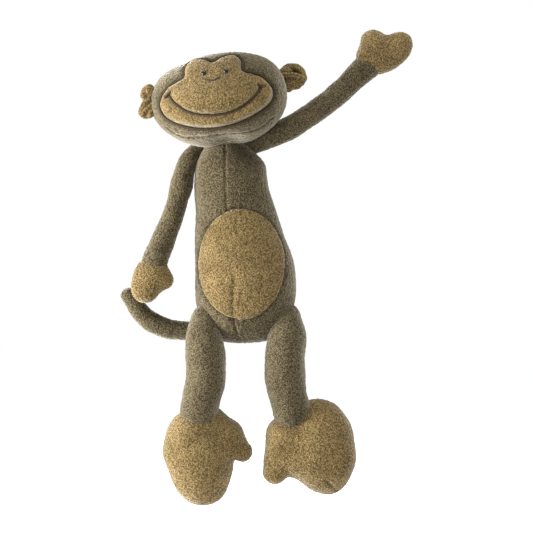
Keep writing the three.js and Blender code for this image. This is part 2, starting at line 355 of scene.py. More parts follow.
@dataclass(frozen=True)
class Stack(Solid):
    """A body of rounded level slices, given by their half widths and middles."""

    outline: tuple[tuple[float, float, float], ...]  # height, half width, middle
    depth: float
    inset: float = 0.0
    power: float = 2.2

    def distance(self, points: Points) -> Points:
        """Args: points: rows of places. Returns: roughly how far each lies outside."""
        line = through(self.outline, 300)
        half = np.interp(points[:, 2], line[:, 0], line[:, 1]) - self.inset
        half = np.maximum(half, 1e-3)
        middle = np.interp(points[:, 2], line[:, 0], line[:, 2])
        across = np.abs((points[:, 0] - middle) / half)
        deep = np.abs(points[:, 1] / (half * self.depth))
        gap = ((across**self.power + deep**self.power) ** (1 / self.power) - 1) * half
        ends = np.maximum(line[0, 0] - points[:, 2], points[:, 2] - line[-1, 0]) + self.inset
        return np.maximum(gap, ends)


@dataclass(frozen=True)
class Merge(Solid):
    """Several solids run softly into one, with hollows pressed softly into it."""

    parts: tuple[Solid, ...]
    softness: float = 8.0
    hollows: tuple[Solid, ...] = ()

    def distance(self, points: Points) -> Points:
        """Args: points: rows of places. Returns: roughly how far each lies outside."""
        near = self.parts[0].distance(points)
        for part in self.parts[1:]:
            near = soft_least(near, part.distance(points), self.softness)
        for hollow in self.hollows:
            near = -soft_least(-near, hollow.distance(points), self.softness / 2)
        return near


def unit_rows(rows: Points) -> Points:
    """Rows of directions, each made one long."""
    return rows / np.linalg.norm(rows, axis=1)[:, None]


def run_lengths(line: Points) -> Points:
    """How far along a line each of its points is."""
    steps = np.linalg.norm(np.diff(line, axis=0), axis=1)
    return np.concatenate(([0], np.cumsum(steps)))


def read_along(at: Points, run: Points, rows: Points) -> Points:
    """Rows that are given along a line, read at other places along it.

    Args:
        at: how far along the line each place is.
        run: how far along it each row is.
        rows: the rows.
    Returns: a row for each place.
    """
    return np.stack([np.interp(at, run, rows[:, i]) for i in range(3)], axis=1)


def soft_least(a: Points, b: Points, softness: float) -> Points:
    """The lesser of two distances, rounded where they meet.

    Args:
        a: the one distance of each point.
        b: the other.
        softness: how wide the rounding is.
    Returns: the rounded least.
    """
    lap = np.clip(softness - np.abs(a - b), 0, None) / softness
    return np.minimum(a, b) - lap**2 * softness / 4


def cast(solid: Solid, origins: Points, rays: Points, far: float) -> Points:
    """The last places along rays that are inside a solid.

    Args:
        solid: the solid.
        origins: where the rays start, inside it.
        rays: their unit directions.
        far: a length at which each ray is surely outside.
    Returns: the places on the surface.
    """
    low = np.zeros(len(rays))
    high = np.full(len(rays), far)
    for _ in range(26):
        middle = (low + high) / 2
        inside = solid.distance(origins + rays * middle[:, None]) < 0
        low = np.where(inside, middle, low)
        high = np.where(inside, high, middle)
    return origins + rays * low[:, None]


def cast_forward(solid: Solid, origins: Points, far: float) -> Points:
    """The places on a solid's front that lie before places inside it.

    Args:
        solid: the solid.
        origins: the places inside it.
        far: a length at which each ray is surely outside.
    Returns: the places on the surface.
    """
    rays = np.repeat(np.array([(0.0, -1.0, 0.0)]), len(origins), axis=0)
    return cast(solid, origins, rays, far)


def through(knots: Sequence[Point], count: int, closed: bool = False) -> Points:
    """A smooth line through points, in even steps.

    Args:
        knots: the points it passes.
        count: how many points it is given as.
        closed: whether it comes back to its first point.
    Returns: the line's points.
    """
    line = [Vector(k) for k in knots]
    if closed:
        line = [line[-1], *line, line[0], line[1]]
    else:
        line = [line[0] * 2 - line[1], *line, line[-1] * 2 - line[-2]]
    fine = []
    steps = 24
    for a, b, c, d in zip(line, line[1:], line[2:], line[3:]):
        for i in range(steps):
            t = i / steps
            fine.append(
                (b * 2 + (c - a) * t + (a * 2 - b * 5 + c * 4 - d) * t * t
                 + (b * 3 - a - c * 3 + d) * t**3) / 2
            )
    fine.append(line[-2].copy())
    dense = np.array([tuple(p) for p in fine])
    run = run_lengths(dense)
    even = np.linspace(0, run[-1], count + 1 if closed else count)
    even = even[:-1] if closed else even
    return read_along(even, run, dense)


def near_line(points: Points, line: Points) -> tuple[Points, Points]:
    """How far points are from a line, and where along it.

    Args:
        points: the places.
        line: the line's points.
    Returns: each place's distance, and the line's length up to its nearest point.
    """
    best = np.full(len(points), np.inf)
    run = np.zeros(len(points))
    length = 0.0
    for a, b in zip(line[:-1], line[1:]):
        axis = b - a
        size = float(np.linalg.norm(axis))
        share = np.clip((points - a) @ axis / max(size * size, 1e-9), 0, 1)
        gap = np.linalg.norm(points - a - share[:, None] * axis, axis=1)
        closer = gap < best
        best = np.where(closer, gap, best)
        run = np.where(closer, length + share * size, run)
        length += size
    return best, run


# ---- relief ----------------------------------------------------------------------------------


@dataclass(frozen=True)
class Groove:
    """A seam or crease that draws the cloth in along a line."""

    line: np.ndarray
    depth: float
    width: float
    gathers: float = 0.0  # how deep the small puckers across it are
    spacing: float = 7.0

    def lift(self, points: Points) -> Points:
        """Args: points: places on the cloth. Returns: how far each is lifted, mostly below 0."""
        gap, run = near_line(points, self.line)
        lift = -self.depth * np.exp(-((gap / self.width) ** 2))
        if self.gathers:
            wave = np.cos(run * (2 * math.pi / self.spacing) + 1.7 * np.sin(run * 0.13))
            lift += self.gathers * wave * np.exp(-gap / (self.width * 2.2))
        return lift


@dataclass(frozen=True)
class Swell:
    """A soft rise or dent round a place."""

    centre: Point
    radius: float
    height: float

    def lift(self, points: Points) -> Points:
        """Args: points: places on the cloth. Returns: how far each is lifted."""
        gap = np.linalg.norm(points - np.array(self.centre), axis=1)
        return self.height * np.exp(-((gap / self.radius) ** 2))


@dataclass(frozen=True)
class Pile:
    """The fleece's own surface: curls over the unevenness of the stuffing."""

    curl: float = 0.5
    grain: float = 2.6
    lump: float = 0.5
    lump_size: float = 22.0
    seed: float = 0.0

    def lift(self, points: Points) -> Points:
        """Args: points: places on the cloth. Returns: how far each is lifted."""
        shift = Vector((self.seed, self.seed * 0.7, -self.seed * 1.3))
        out = np.empty(len(points))
        for i, row in enumerate(points.tolist()):
            place = Vector(row)
            curl = noise.noise(place / self.grain + shift)
            lump = noise.noise(place / self.lump_size + shift)
            out[i] = self.curl * curl + self.lump * lump
        return out


# ---- meshes ----------------------------------------------------------------------------------

STUFFING_INSET = 4.0


def placed(name: str, data: bpy.types.ID) -> bpy.types.Object:
    """A new object in the scene, at the origin."""
    made = bpy.data.objects.new(name, data)
    bpy.context.scene.collection.objects.link(made)
    return made


def finish_mesh(
    name: str,
    bm: bmesh.types.BMesh,
    finish: Finish,
    reliefs: Sequence[Groove | Swell | Pile] = (),
) -> bpy.types.Object:
    """Turns a worked mesh into a smooth object with its finish.

    Args:
        name: the object's name.
        bm: the mesh, in millimetres. It is freed.
        finish: its finish.
        reliefs: what lifts or sinks its surface, along its normals.
    Returns: the object.
    """
    bmesh.ops.recalc_face_normals(bm, faces=bm.faces)
    mesh = bpy.data.meshes.new(name)
    bm.to_mesh(mesh)
    bm.free()
    count = len(mesh.vertices)
    places = np.empty(count * 3)
    mesh.vertices.foreach_get("co", places)
    places = places.reshape(-1, 3)
    if reliefs:
        normals = np.empty(count * 3)
        mesh.vertices.foreach_get("normal", normals)
        lift = sum(relief.lift(places) for relief in reliefs)
        places = places + normals.reshape(-1, 3) * lift[:, None]
    mesh.vertices.foreach_set("co", (places * MM).ravel())
    mesh.polygons.foreach_set("use_smooth", np.ones(len(mesh.polygons), bool))
    mesh.update()
    mesh.materials.append(finish.material())
    made = placed(name, mesh)
    LOG.info("%s: %d faces", name, len(mesh.polygons))
    return made


def fine(level: int) -> int:
    """A subdivision level, as it is given."""
    return level


def drawn_over(
    name: str,
    solid: Solid,
    centre: Point,
    stretch: Point,
    level: int,
    finish: Finish,
    reliefs: Sequence[Groove | Swell | Pile] = (),
) -> bpy.types.Object:
    """A ball of even triangles drawn over a solid that its centre sees all of.

    Args:
        name: the object's name.
        solid: the solid.
        centre: a place inside it.
        stretch: roughly its half sizes, so that the triangles stay even.
        level: the ball's subdivision level.
        finish: its finish.
        reliefs: what lifts or sinks its surface.
    Returns: the object.
    """
    bm = bmesh.new()
    bmesh.ops.create_icosphere(bm, subdivisions=fine(level), radius=1.0)
    rays = unit_rows(np.array([tuple(v.co) for v in bm.verts]) * np.array(stretch))
    origins = np.repeat(np.array([centre], float), len(rays), axis=0)
    for vertex, place in zip(bm.verts, cast(solid, origins, rays, 3 * max(stretch))):
        vertex.co = place
    return finish_mesh(name, bm, finish, reliefs)


def wrapped(
    columns: int, rows: int, place: Callable[[Points, Points], Points]
) -> bmesh.types.BMesh:
    """A grid laid over a surface, and welded where it meets itself.

    Args:
        columns: its squares one way, along u from 0 to 1.
        rows: its squares the other way, along v from 0 to 1.
        place: gives each (u, v) its place.
    Returns: the mesh.
    """
    bm = bmesh.new()
    bmesh.ops.create_grid(bm, x_segments=columns, y_segments=rows, size=0.5)
    flat = np.array([tuple(v.co) for v in bm.verts])
    for vertex, spot in zip(bm.verts, place(flat[:, 0] + 0.5, flat[:, 1] + 0.5)):
        vertex.co = spot
    bmesh.ops.remove_doubles(bm, verts=bm.verts, dist=1e-4)
    bmesh.ops.dissolve_degenerate(bm, edges=bm.edges, dist=1e-5)
    return bm


@dataclass(frozen=True)
class Sleeve:
    """A stuffed tube along a line, with rounded ends."""

    knots: tuple[Point, ...]
    radii: tuple[float, ...]  # one for each knot
    step: float = 1.25

    def spine(self) -> tuple[Points, Points, list[float]]:
        """The middle line, how far along it each point is, and where the knots are."""
        line = through(self.knots, 160)
        run = run_lengths(line)
        knots = [run[np.argmin(np.linalg.norm(line - k, axis=1))] for k in self.knots]
        return line, run, knots

    def filling(self, start: float, end: float, inset: float, step: float = 2.6) -> "Sleeve":
        """The stuffing of one length of the tube.

        Args:
            start: the share of the tube's line where it starts.
            end: the share where it ends.
            inset: how far inside the cloth it stays.
            step: the size of its squares.
        Returns: a thinner tube inside this one.
        """
        line, run, knots = self.spine()
        places = np.linspace(start, end, 6) * run[-1]
        spots = read_along(places, run, line)
        radii = np.interp(places, knots, self.radii) - inset
        return Sleeve(tuple(map(tuple, spots)), tuple(radii), step)

    def mesh(self) -> bmesh.types.BMesh:
        """The tube's mesh, in millimetres."""
        line, run, knots = self.spine()
        start_radius = self.radii[0]
        total = run[-1] + start_radius + self.radii[-1]
        tangents = unit_rows(np.gradient(line, axis=0))
        side = unit_rows(np.cross(tangents, (0.0, 1.0, 0.0)))
        step = self.step * 1
        around = max(10, int(2 * math.pi * max(self.radii) / step))
        rows = max(8, int(total / step))

        def place(u: Points, v: Points) -> Points:
            """Places round and along the tube, from shares of both."""
            at = v * total - start_radius
            inner = np.clip(at, 0, run[-1])
            middle = read_along(inner, run, line)
            ahead = read_along(inner, run, tangents)
            right = read_along(inner, run, side)
            up = np.cross(right, ahead)
            radius = np.interp(inner, knots, self.radii)
            beyond = at - inner
            middle = middle + ahead * beyond[:, None]
            radius = np.sqrt(np.clip(radius**2 - beyond**2, 0, None))
            angle = u * 2 * math.pi
            ring = right * np.cos(angle)[:, None] + up * np.sin(angle)[:, None]
            return middle + ring * radius[:, None]

        return wrapped(around, rows, place)


@dataclass(frozen=True)
class Ribbon:
    """A flat satin stitch that lies along a line on a surface."""

    line: np.ndarray
    outward: np.ndarray  # the surface's direction at each point of the line
    width: float
    height: float
    closed: bool = False
    twist: float = 1.1  # how far apart the threads' ridges are
    slant: float = 2.2  # how far the ridges lean over the stitch, in radians of the twist
    ridge: float = 0.12  # how high they are, as a share of the stitch
    sides: int = 14

    def mesh(self) -> bmesh.types.BMesh:
        """The stitch's mesh, in millimetres."""
        line, outward = self.line, self.outward
        if self.closed:
            line = np.vstack((line, line[:1]))
            outward = np.vstack((outward, outward[:1]))
        run = run_lengths(line)
        ahead = np.gradient(line, axis=0)
        if self.closed:
            ahead[0] = ahead[-1] = ahead[0] + ahead[-1]
        side = unit_rows(np.cross(unit_rows(ahead), outward))
        rows = int(run[-1] / (0.35))

        def place(u: Points, v: Points) -> Points:
            """Places round and along the stitch, from shares of both."""
            at = v * run[-1]
            middle = read_along(at, run, line)
            right = read_along(at, run, side)
            up = read_along(at, run, outward)
            angle = u * 2 * math.pi
            turns = 2 * math.pi * at / self.twist + self.slant * np.cos(angle)
            ridge = 1 + self.ridge * np.cos(turns)
            end = 1.0
            if not self.closed:
                left = np.minimum(at, run[-1] - at) / (self.width / 2)
                end = np.sqrt(np.clip(1 - (1 - np.clip(left, 0, 1)) ** 2, 0, 1))
            wide = self.width / 2 * np.cos(angle) * ridge * end
            high = self.height / 2 * np.sin(angle) * ridge * end
            return middle + right * wide[:, None] + up * high[:, None]

        return wrapped(self.sides, rows, place)


def fused(
    name: str, shapes: Sequence[bmesh.types.BMesh], voxel: float, rounding: int
) -> bmesh.types.BMesh:
    """One closed skin round several closed shapes that run through each other.

    Args:
        name: a name for the work in hand.
        shapes: the shapes. They are freed.
        voxel: the size of the skin's squares.
        rounding: how many times the skin is smoothed.
    Returns: the skin, in millimetres.
    """
    mesh = bpy.data.meshes.new(name)
    whole = bmesh.new()
    for shape in shapes:
        shape.to_mesh(mesh)
        shape.free()
        whole.from_mesh(mesh)
    bmesh.ops.recalc_face_normals(whole, faces=whole.faces)
    whole.to_mesh(mesh)
    whole.free()
    work = placed(name, mesh)
    remesh = work.modifiers.new("skin", "REMESH")
    remesh.mode = "VOXEL"
    remesh.voxel_size = voxel
    skin = work.evaluated_get(bpy.context.evaluated_depsgraph_get())
    bm = bmesh.new()
    bm.from_mesh(skin.to_mesh())
    skin.to_mesh_clear()
    bpy.data.objects.remove(work)
    bpy.data.meshes.remove(mesh)
    for _ in range(rounding):
        bmesh.ops.smooth_vert(
            bm, verts=bm.verts, factor=0.5, use_axis_x=True, use_axis_y=True, use_axis_z=True
        )
    return bm


def settle(
    piece: bpy.types.Object,
    body: str | None,
    replaced: Sequence[str] = (),
) -> bpy.types.Object:
    """Puts a piece on its body and hides the model's nodes that it stands for.

    Args:
        piece: the piece.
        body: the body it rides on, or None when it rides on no body.
        replaced: the model's nodes that it stands for.
    Returns: the piece.
    """
    if body:
        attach(piece, body)
    if replaced:
        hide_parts(*replaced)
    return piece


def turned(axis: str, degrees: float) -> np.ndarray:
    """The matrix that turns about X, Y or Z.

    Args:
        axis: the axis's letter.
        degrees: how far, by the right-hand rule.
    Returns: the 3 by 3 matrix.
    """
    c, s = math.cos(math.radians(degrees)), math.sin(math.radians(degrees))
    rows = {
        "X": ((1, 0, 0), (0, c, -s), (0, s, c)),
        "Y": ((c, 0, s), (0, 1, 0), (-s, 0, c)),
        "Z": ((c, -s, 0), (s, c, 0), (0, 0, 1)),
    }
    return np.array(rows[axis], float)


LUMPY = Pile(curl=0.5, grain=5.0, lump=0.8, lump_size=12.0, seed=5.0)


# ---- torso -----------------------------------------------------------------------------------


@dataclass
class Torso:
    """The pear-shaped body with its seams, its belly patch and its stuffing."""

    depth: float = 0.76
    outline: tuple[tuple[float, float, float], ...] = (  # height, half width, middle
        (-1.5, 0, 3.5), (0, 17, 3.5), (3, 26, 3.5), (9, 34, 3.6), (17, 40.5, 3.8), (27, 45.5, 4),
        (38, 49, 4.4), (51, 50.3, 5), (72, 50, 4), (89, 48, 1.9), (105, 44.6, -1.6),
        (128, 41, -5), (149, 38, -8.8), (166, 36.3, -10), (177, 34.4, -10.3), (184, 30.8, -11.4),
        (190, 26.4, -12.9), (195.5, 22, -13.5), (199.5, 16.5, -14), (202, 10, -14.5), (203, 0, -14.5),
    )
    patch_centre: tuple[float, float] = (0.5, 78)
    patch_half: tuple[float, float] = (43.5, 55.4)
    patch_rise: float = 0.9
    patch_round: float = 0.955  # the share of the way out where its edge starts to round off
    patch_turn: float = 0.94  # the share of its rings that lie flat, before the edge tucks in
    patch_tuck: float = 2.2
    patch_core: float = 40.0  # how far behind the middle its thickness points away from
    patch_curve: tuple[float, float] = (1.15, 1.075)  # its cut size over its size across and up
    patch_area_share: float = 1.22  # its cut area over the flat oval's
    solid: Solid = field(init=False)

    def __post_init__(self) -> None:
        """Builds the solid that the cloth is drawn over."""
        self.solid = Stack(self.outline, self.depth)

    def front(self, x: Points, z: Points) -> Points:
        """Places on the front of the body.

        Args:
            x: how far to the right each is.
            z: how high each is.
        Returns: the places on the surface.
        """
        return cast_forward(self.solid, np.stack((x, np.zeros_like(x), z), 1), 60.0)

    def off_belly(self, spots: Points) -> Points:
        """The directions out of the belly at places on it."""
        mid_x, mid_z = self.patch_centre
        return unit_rows(spots - np.array((mid_x, self.patch_core, mid_z)))

    def seam(self, knots: Sequence[tuple[float, float]]) -> Points:
        """A line on the front through (x, z) places."""
        flat = through([(x, 0, z) for x, z in knots], 40)
        return self.front(flat[:, 0], flat[:, 2])

    def rim(self, count: int = 160) -> Points:
        """The line round the belly patch."""
        angle = np.linspace(0, 2 * math.pi, count + 1)
        x = self.patch_centre[0] + self.patch_half[0] * np.cos(angle)
        z = self.patch_centre[1] + self.patch_half[1] * np.sin(angle)
        return self.front(x, z)

    def build(self) -> None:
        """Builds the body's pieces."""
        edge = self.rim()
        centre_seam = self.seam(((-15.5, 199), (-15.5, 186), (-15.5, 168), (-15, 150), (-14, 133)))
        belly_seam = self.seam(((-6, 66), (-7.5, 50), (-7.5, 36), (-7, 24)))
        low_seam = self.seam(((-7, 24), (-5, 14), (-2, 4)))
        creases = (
            Groove(edge, 1.7, 2.0, 0.35, 9.0),
            Groove(centre_seam, 1.0, 1.2, 0.2),
            Groove(belly_seam, 2.2, 4.0),
            Groove(low_seam, 1.3, 1.5, 0.2),
            Swell((13, -16, 150), 14, -1.6),
            Swell((-36, -8, 130), 14, -1.2),
            Pile(seed=1.0, lump=0.9, lump_size=28.0),
        )
        cover = drawn_over(
            "torso_cover", self.solid, (-2, 0, 92), (46, 36, 95), 7, BROWN, creases
        )
        settle(
            cover, "torso", ("torso_front_left", "torso_front_right", "torso_back")
        )
        self.build_patch(edge, belly_seam)
        stuffing = drawn_over(
            "torso_fill", Stack(self.outline, self.depth, 2 * STUFFING_INSET), (-2, 0, 92),
            (38, 28, 86), 5, FIBREFILL, (LUMPY,),
        )
        settle(stuffing, "torso", ("torso_stuffing",))

    def build_patch(self, edge: Points, seam: Points) -> None:
        """Builds the tan oval let into the belly.

        Args:
            edge: the line round it.
            seam: the line of the crease in its lower half.
        """
        half_x, half_z = self.patch_half
        mid_x, mid_z = self.patch_centre
        step = 1.2
        spokes = int(2 * math.pi * half_z / step)
        rings = int(half_z / step)

        def place(u: Points, v: Points) -> Points:
            """Places round and out over the oval, from shares of both."""
            angle = u * 2 * math.pi
            reach = np.clip(v / self.patch_turn, 0, 1)
            x = mid_x + half_x * reach * np.cos(angle)
            z = mid_z + half_z * reach * np.sin(angle)
            spots = self.front(x, z)
            drop = np.clip((reach - self.patch_round) / (1 - self.patch_round), 0, 1) ** 2
            sink = np.clip((v - self.patch_turn) / (1 - self.patch_turn), 0, 1)
            rise = self.patch_rise * (1 - 2 * drop) - self.patch_tuck * sink
            return spots + self.off_belly(spots) * rise[:, None]

        bm = wrapped(spokes, rings, place)
        creases = (Groove(seam, 1.3, 2.4, 0.25), Pile(seed=2.0, lump=0.5))
        patch = finish_mesh("belly_patch_fleece", bm, TAN, creases)
        settle(patch, "torso", ("belly_patch",))
        outward = self.off_belly(edge[:-1])
        line = edge[:-1] - outward * 1.3  # down in the groove round the patch
        stitch = finish_mesh(
            "belly_seam_thread", Ribbon(line, outward, 1.0, 0.9, True).mesh(), THREAD
        )
        settle(stitch, "torso", ("belly_stitching",))


# ---- head ------------------------------------------------------------------------------------


@dataclass
class Head:
    """The wide head, its face and its eyes."""

    centre: Point = (-22, -10, 243)
    axes: Point = (68, 48, 45)
    muzzle_centre: Point = (0, -26, -12)
    muzzle_axes: Point = (45, 26, 19)
    jowl_centre: Point = (0, 0, -9)
    jowl_axes: Point = (57, 40, 38.5)
    roll: float = -5.0
    yaw: float = -7.0
    pitch: float = -12.0
    face_middle: float = 1.3
    face_tip: float = 0.035  # how much more the right of the face is raised, for each mm across
    outline: tuple[tuple[float, float], ...] = (
        (0, 28.5), (6.4, 32.4), (14.2, 35.6), (21.4, 35.7), (27, 31), (29.7, 23.5), (30.2, 15.4),
        (38.6, 12.3), (47.4, 8.8), (54.4, 2.2), (57.8, -4.7), (57.3, -12), (52.7, -19.8), (43.6, -27),
        (30, -33.5), (16, -37.3), (0, -38.8),
    )
    mouth: tuple[tuple[float, float], ...] = (
        (45.6, -2.4), (42.3, -8.2), (37, -14.7), (28, -21.4), (17.8, -25.6), (8.8, -27.4),
        (0, -28),
    )
    nose: tuple[tuple[float, float], ...] = (
        (-7.6, 7.4), (-3.9, 5), (0.4, 3.7), (4.4, 4.9), (8.8, 7),
    )
    patch_rise: float = 1.5
    edge_drop: float = 1.6  # how far below the head's surface the face's edge lies
    edge_width: float = 3.2
    lip_puff: float = 1.6  # how much more the face rises away from the smile
    lip_groove: float = 1.6  # how far it sinks at the smile
    lip_width: float = 3.4
    tuck: float = 2.5  # how far its cut edge is tucked in
    tuck_share: float = 0.95  # the share of its rings that lie flat, before the edge tucks in
    face_reach: tuple[float, float] = (50, 57)  # its mean and its greatest half width
    face_flat: tuple[float, float] = (150, 100)  # its cut size
    face_area: float = 8800  # its cut area
    eye_axes: Point = (2.3, 1.9, 3.0)
    turn: np.ndarray = field(init=False)
    solid: Solid = field(init=False)

    def __post_init__(self) -> None:
        """Sets the head's turn and the solid, in the head's own axes."""
        self.turn = turned("Y", self.roll) @ turned("Z", self.yaw) @ turned("X", self.pitch)
        self.solid = Merge(
            (
                Oval((0, 0, 0), self.axes, power=2.08),
                Oval(self.jowl_centre, self.jowl_axes),
                Oval(self.muzzle_centre, self.muzzle_axes),
            ),
            12.0,
        )

    def world(self, points: Points) -> Points:
        """Places in the head's own axes, as places in the frame."""
        return points @ self.turn.T + np.array(self.centre)

    def face(self, x: Points, z: Points) -> Points:
        """Places on the face, in the head's own axes, from across and up."""
        return cast_forward(self.solid, np.stack((x, np.full_like(x, -8.0), z), 1), 80.0)

    def outward(self, points: Points) -> Points:
        """The head's outward direction at places in its own axes."""
        slope = np.empty_like(points)
        for i in range(3):
            shift = np.zeros(3)
            shift[i] = 0.5
            ahead = self.solid.distance(points + shift)
            slope[:, i] = ahead - self.solid.distance(points - shift)
        return unit_rows(slope)

    def rim(self, count: int = 200) -> Points:
        """The closed line round the face, flat, as rows of (x, 0, z)."""
        middle = self.face_middle
        tip = self.face_tip
        right = [(middle + x, 0, z + tip * x) for x, z in self.outline]
        left = [(middle - x, 0, z - tip * x) for x, z in self.outline[-2:0:-1]]
        return through(right + left, count, closed=True)

    def smile(self, count: int = 160) -> Points:
        """The line of the smile, flat, as rows of (x, 0, z)."""
        middle = self.face_middle
        left = [(middle - x, 0, z) for x, z in self.mouth]
        right = [(middle + x, 0, z) for x, z in self.mouth[-2::-1]]
        return through(left + right, count)

    def on_face(self, flat: Points, rise: float) -> Points:
        """Places over the face, in its own axes.

        Args:
            flat: rows of (x, 0, z).
            rise: how far off the head's surface.
        Returns: the places.
        """
        spots = self.face(flat[:, 0], flat[:, 2])
        return spots + self.outward(spots) * rise

    def moved(self, bm: bmesh.types.BMesh) -> bmesh.types.BMesh:
        """Takes a mesh from the head's own axes to the frame's."""
        spots = self.world(np.array([tuple(v.co) for v in bm.verts]))
        for vertex, spot in zip(bm.verts, spots):
            vertex.co = spot
        return bm

    def build(self) -> None:
        """Builds the head's pieces."""
        rim = self.on_face(self.rim(), 0.0)
        closed_rim = np.vstack((rim, rim[:1]))
        chin = self.chin_seam()
        creases = (
            Groove(self.world(closed_rim), 2.0, 2.6, 0.2, 8.0),
            Groove(self.world(chin), 1.2, 1.5, 0.3, 8.0),
            Swell((24, -12, 281), 24, 4.0),
            Swell((-52, -12, 276), 22, -3.5),
            Swell((-14, -28, 196), 17, -6.5),
            Pile(seed=3.0, lump=0.9, lump_size=26.0),
        )
        world_solid = TurnedSolid(self.solid, self.turn, self.centre)
        cover = drawn_over(
            "head_cover", world_solid, self.centre, (68, 52, 46), 7, BROWN, creases
        )
        settle(cover, "head", ("head_crown", "head_throat"))
        inner = Oval((0, 0, 3), tuple(a - 2 * STUFFING_INSET for a in self.axes))
        fill = drawn_over(
            "head_fill", TurnedSolid(inner, self.turn, self.centre), self.centre,
            (60, 40, 37), 5, FIBREFILL, (LUMPY,),
        )
        settle(fill, "head", ("head_stuffing",))
        self.build_face()
        self.build_stitching(rim)
        self.build_eyes()

    def chin_seam(self) -> Points:
        """The seam under the chin, in the head's own axes."""
        flat = through(((-54, 0, -27), (-44, 0, -35), (-29, 0, -41.5), (0, 0, -44.5),
                        (20, 0, -43.5), (40, 0, -38), (54, 0, -28)), 60)
        return self.face(flat[:, 0], flat[:, 2])

    def build_face(self) -> None:
        """Builds the tan face with its puffed muzzle and lip."""
        rim = self.rim(720)
        across = rim[:, 0] - self.face_middle
        angles = np.arctan2(rim[:, 2], across)
        order = np.argsort(angles)
        angles, reach = angles[order], np.hypot(across, rim[:, 2])[order]
        step = 1.1
        mean_reach, full_reach = self.face_reach
        spokes = int(2 * math.pi * mean_reach / step)
        rings = int(full_reach / step)
        mouth = self.smile(120)
        rim_line = np.vstack((rim[::4], rim[:1]))

        def place(u: Points, v: Points) -> Points:
            """Places round and out over the face, from shares of both."""
            angle = u * 2 * math.pi
            full = np.interp(angle, angles, reach, period=2 * math.pi)
            share = np.clip(v / self.tuck_share, 0, 1)
            x = self.face_middle + full * share * np.cos(angle)
            flat = np.stack((x, 0 * u, full * share * np.sin(angle)), 1)
            from_rim, _ = near_line(flat, rim_line)
            from_rim = np.where(share >= 1, 0, from_rim)
            from_mouth, _ = near_line(flat, mouth)
            edge = 1 - np.exp(-((from_rim / self.edge_width) ** 2))
            lips = 1 - np.exp(-((from_mouth / self.lip_width) ** 2))
            rise = self.patch_rise * edge - self.edge_drop * (1 - edge)
            rise += self.lip_puff * edge * lips - self.lip_groove * (1 - lips)
            rise -= self.tuck * np.clip((v - self.tuck_share) / (1 - self.tuck_share), 0, 1)
            spots = self.face(flat[:, 0], flat[:, 2])
            return spots + self.outward(spots) * rise[:, None]

        bm = self.moved(wrapped(spokes, rings, place))
        patch = finish_mesh("face_fleece", bm, TAN, (Pile(seed=4.0, lump=0.4),))
        settle(patch, "head", ("face_patch",))

    def build_stitching(self, rim: Points) -> None:
        """Builds the face's outline, the smile and the nose.

        Args: rim: the line round the face, in the head's own axes.
        """
        away = self.outward(rim)
        high_left = np.clip(-rim[:, 0] / 20, 0, 1) * np.clip(rim[:, 2] / 12, 0, 1)
        sink = 0.3 + 0.9 * high_left
        band = Ribbon(rim - away * sink[:, None], away, 3.4, 1.8, True)
        line = finish_mesh("face_outline_thread", self.moved(band.mesh()), THREAD)
        settle(line, "head", ("face_outline",))
        self.stitch("smile_thread", self.smile(), 0.75, 2.6, 1.5, THREAD, ("smile",))
        ticks = {
            "smile_end_right": ((39.5, 0, 3.6), (43.8, 0, 0), (48.4, 0, -2.6)),
            "smile_end_left": ((-48.2, 0, -4.2), (-44, 0, -1.4), (-39.8, 0, 1.4)),
        }
        for name, knots in ticks.items():
            self.stitch(name, through(knots, 24), 2.0, 2.6, 1.5, THREAD, ())
        nose = through([(x, 0, z) for x, z in self.nose], 40)
        self.stitch("nose_thread", nose, 3.3, 1.5, 1.2, NOSE_THREAD, ("nose",))

    def stitch(
        self,
        name: str,
        flat: Points,
        rise: float,
        width: float,
        height: float,
        finish: Floss,
        replaced: Sequence[str],
    ) -> None:
        """Lays one line of satin stitch on the face.

        Args:
            name: the piece's name.
            flat: the line, as rows of (x, 0, z).
            rise: how far its middle is off the head's surface.
            width: how wide it is.
            height: how thick it is.
            finish: its thread.
            replaced: the model's nodes that it stands for.
        """
        line = self.on_face(flat, rise)
        bm = self.moved(Ribbon(line, self.outward(line), width, height).mesh())
        settle(finish_mesh(name, bm, finish), "head", replaced)

    def build_eyes(self) -> None:
        """Builds the two bead eyes."""
        for name, x, z, lean in (("left", -6.6, 13, 14), ("right", 14.4, 13.5, -4)):
            middle = self.on_face(np.array([(x, 0.0, z)]), 3.2)[0]
            bead = Oval(tuple(middle), self.eye_axes, turned("Y", lean))
            solid = TurnedSolid(bead, self.turn, self.centre)
            centre = tuple(self.world(middle[None])[0])
            made = drawn_over(
                f"{name}_eye_bead", solid, centre, self.eye_axes, 4, EYE_BEAD
            )
            settle(made, "head", (f"eye_{name}",))


@dataclass(frozen=True)
class TurnedSolid(Solid):
    """A solid in its own axes, placed in the frame."""

    solid: Solid
    turn: np.ndarray
    centre: Point

    def distance(self, points: Points) -> Points:
        """Args: points: rows of places. Returns: roughly how far each lies outside."""
        return self.solid.distance((points - np.array(self.centre)) @ self.turn)


